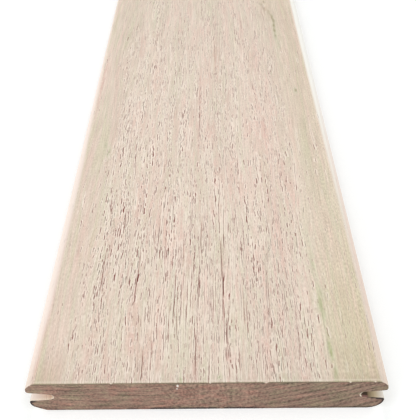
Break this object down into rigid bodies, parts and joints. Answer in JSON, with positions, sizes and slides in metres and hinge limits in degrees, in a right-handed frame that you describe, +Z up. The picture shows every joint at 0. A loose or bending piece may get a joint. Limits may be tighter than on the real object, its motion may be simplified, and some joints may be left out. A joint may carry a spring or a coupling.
{
  "type": "decking board",
  "caption": "Flat hardwood decking board with rounded long edges, a flared clip groove along each side and square-sawn ends.",
  "frame": {"origin": "middle of the underside, half way along the board", "axes": "+Z up out of the tread face, +Y along the board away from the pictured end, +X across its width"},
  "size_m": [0.145, 1.85, 0.021],
  "materials": {
    "hardwood": "planed and unoiled, with open pores; sawn brown end grain"
  },
  "bodies": {
    "root": {"decking_board": "hardwood"}
  },
  "joints": []
}
